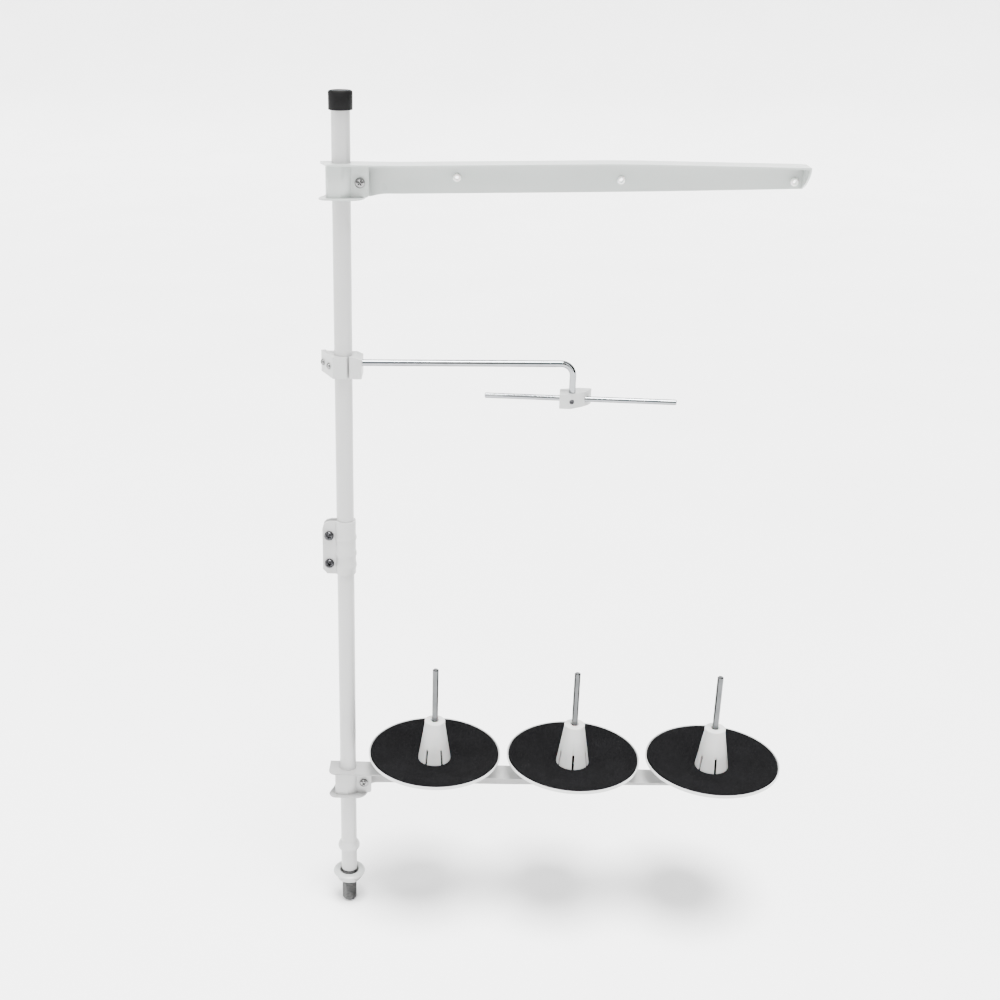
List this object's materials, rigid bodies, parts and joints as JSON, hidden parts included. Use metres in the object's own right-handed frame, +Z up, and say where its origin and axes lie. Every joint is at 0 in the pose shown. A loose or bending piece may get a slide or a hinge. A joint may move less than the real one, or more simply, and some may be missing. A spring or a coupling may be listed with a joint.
{
  "type": "thread stand",
  "caption": "Table-clamped pole with a lower arm carrying dished spool plates on pins, a bent support rod with a cross rod, and an upper arm of thread guide eyes.",
  "frame": {"origin": "pole axis at the underside of the rolled bead, where it rests on the table top", "axes": "+Z up the pole, +X out along the two arms, +Y away from the viewer to the arms' back web"},
  "size_m": [0.447, 0.1304, 0.806],
  "materials": {
    "painted_steel": "satin light grey paint",
    "guide_paint": "satin light grey paint, slightly green",
    "clamp_paint": "satin grey paint on castings",
    "chrome_rod": "polished",
    "zinc": "zinc plated, satin",
    "dark_screw": "dark plated, satin",
    "thread_steel": "dull grey, machined thread",
    "black_rubber": "matte",
    "eyelet_plastic": "glossy",
    "cone_plastic": "satin",
    "foam": "matte, fine open surface"
  },
  "bodies": {
    "pole": {"lower_pole": "painted_steel", "threaded_stud": "thread_steel", "upper_pole": "painted_steel", "pole_cap": "black_rubber", "coupler_sleeve": "painted_steel", "coupler_screws": "dark_screw", "coupler_nuts": "zinc"},
    "guide_arm_assembly": {"guide_arm": "guide_paint", "guide_arm_clip": "painted_steel", "guide_arm_screw": "zinc", "guide_arm_nut": "zinc", "thread_eyelet_1": "eyelet_plastic", "thread_eyelet_2": "eyelet_plastic", "thread_eyelet_3": "eyelet_plastic"},
    "rod_clamp": {"rod_clamp_jaw": "clamp_paint", "rod_clamp_block": "clamp_paint", "rod_clamp_screw": "dark_screw", "rod_clamp_set_screw": "dark_screw"},
    "rod": {"support_rod": "chrome_rod"},
    "cross_clamp": {"cross_holder": "clamp_paint", "cross_holder_screw": "dark_screw"},
    "cross_bar": {"cross_rod": "chrome_rod"},
    "spool_arm_assembly": {"spool_arm": "painted_steel", "spool_arm_clip": "painted_steel", "spool_arm_screw": "zinc", "spool_arm_nut": "zinc", "spool_plate_1": "painted_steel", "spool_plate_2": "painted_steel", "spool_plate_3": "painted_steel", "foam_pad_1": "foam", "foam_pad_2": "foam", "foam_pad_3": "foam", "spool_pin_1": "zinc", "spool_pin_2": "zinc", "spool_pin_3": "zinc", "spool_pin_nuts_1": "zinc", "spool_pin_nuts_2": "zinc", "spool_pin_nuts_3": "zinc"},
    "cone_1": {"spool_cone_1": "cone_plastic"},
    "cone_2": {"spool_cone_2": "cone_plastic"},
    "cone_3": {"spool_cone_3": "cone_plastic"},
    "washer": {"clamp_washer": "painted_steel"},
    "nut": {"clamp_nut": "zinc"}
  },
  "joints": [
    {"name": "guide_arm_swivel", "type": "hinge", "parent": "pole", "child": "guide_arm_assembly", "pos_m": [0, 0, 0.6715], "axis": [0, 0, 1], "continuous": true},
    {"name": "rod_clamp_swivel", "type": "hinge", "parent": "pole", "child": "rod_clamp", "pos_m": [0, 0, 0.511], "axis": [0, 0, 1], "continuous": true},
    {"name": "support_rod_twist", "type": "hinge", "parent": "rod_clamp", "child": "rod", "pos_m": [0, 0, 0.5135], "axis": [0.9988, 0.0488, 0], "continuous": true},
    {"name": "cross_holder_swivel", "type": "hinge", "parent": "rod", "child": "cross_clamp", "pos_m": [0.20326, 0.00994, 0.4798], "axis": [0, 0, 1], "continuous": true},
    {"name": "cross_rod_slide", "type": "slide", "parent": "cross_clamp", "child": "cross_bar", "axis": [0.998, -0.0628, 0], "range_m": [-0.07, 0.06]},
    {"name": "spool_arm_swivel", "type": "hinge", "parent": "pole", "child": "spool_arm_assembly", "pos_m": [0, 0, 0.0825], "axis": [0, 0, 1], "continuous": true},
    {"name": "cone_lift_1", "type": "slide", "parent": "spool_arm_assembly", "child": "cone_1", "axis": [0, 0, 1], "range_m": [0, 0.095]},
    {"name": "cone_lift_2", "type": "slide", "parent": "spool_arm_assembly", "child": "cone_2", "axis": [0, 0, 1], "range_m": [0, 0.095]},
    {"name": "cone_lift_3", "type": "slide", "parent": "spool_arm_assembly", "child": "cone_3", "axis": [0, 0, 1], "range_m": [0, 0.095]},
    {"name": "washer_slide", "type": "slide", "parent": "pole", "child": "washer", "axis": [0, 0, 1], "range_m": [-0.022, 0.004]},
    {"name": "nut_spin", "type": "hinge", "parent": "washer", "child": "nut", "pos_m": [0, 0, -0.034], "axis": [0, 0, 1], "range_deg": [-3962, 722]}
  ],
  "couplings": [
    {"joint": "nut_spin", "follows": "washer_slide", "rad_per_m": 3141.6}
  ]
}
